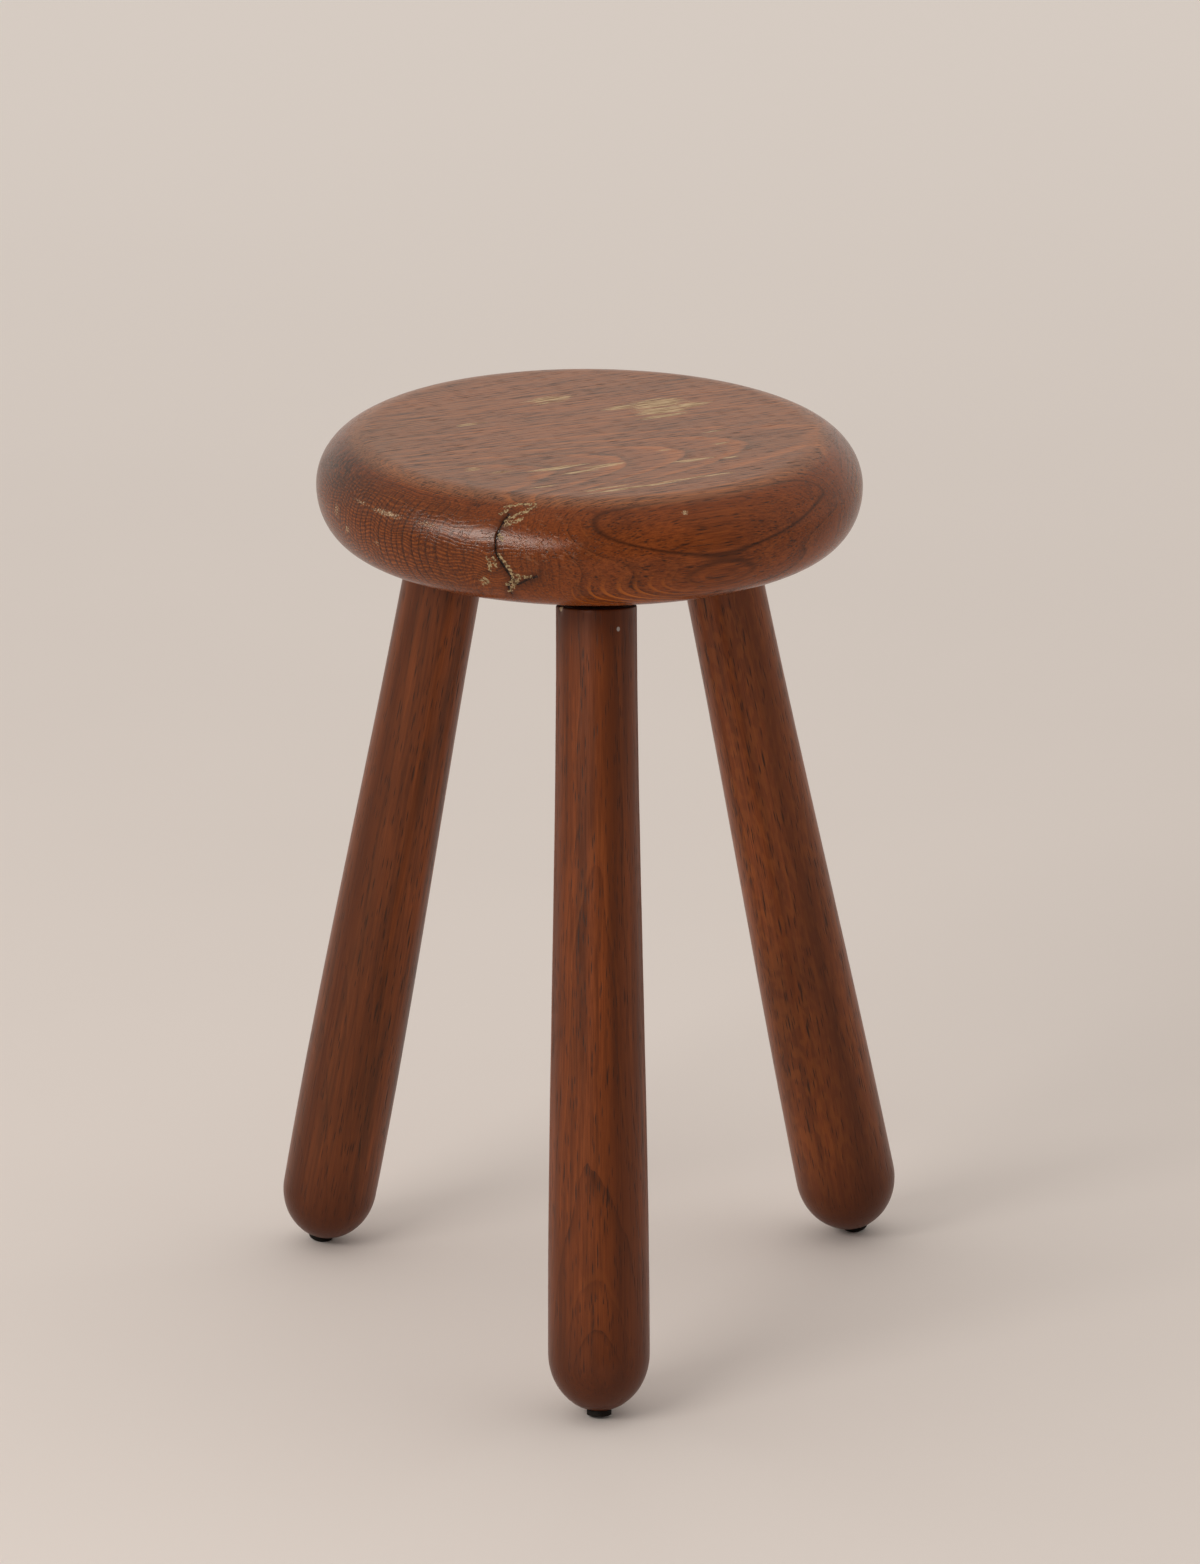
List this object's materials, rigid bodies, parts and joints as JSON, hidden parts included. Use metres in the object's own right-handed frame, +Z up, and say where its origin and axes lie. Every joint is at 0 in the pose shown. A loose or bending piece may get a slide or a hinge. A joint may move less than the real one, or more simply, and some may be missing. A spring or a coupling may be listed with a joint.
{
  "type": "tripod stool",
  "caption": "Round oak stool: a thick seat with a bullnose edge on splayed turned legs that thicken towards domed feet with small black glides.",
  "frame": {"origin": "on the floor, at the centre of the stool's own box in plan; the seat's axis stands a little behind and to the left of it, because the front leg reaches furthest", "axes": "+Z up, -Y towards the front leg, +X to the right as the front leg is faced"},
  "size_m": [0.3114, 0.3058, 0.45],
  "materials": {
    "seat_oak": "stained oak under satin varnish, worn on top",
    "leg_oak": "stained oak under satin varnish",
    "glide_black": "matt black, worn where it rubs",
    "nail_steel": "plain steel"
  },
  "bodies": {
    "root": {"seat": "seat_oak", "leg_front": "leg_oak", "leg_left": "leg_oak", "leg_right": "leg_oak", "glide_front": "glide_black", "glide_left": "glide_black", "glide_right": "glide_black", "nail_front": "nail_steel", "nail_left": "nail_steel", "nail_right": "nail_steel"}
  },
  "joints": []
}
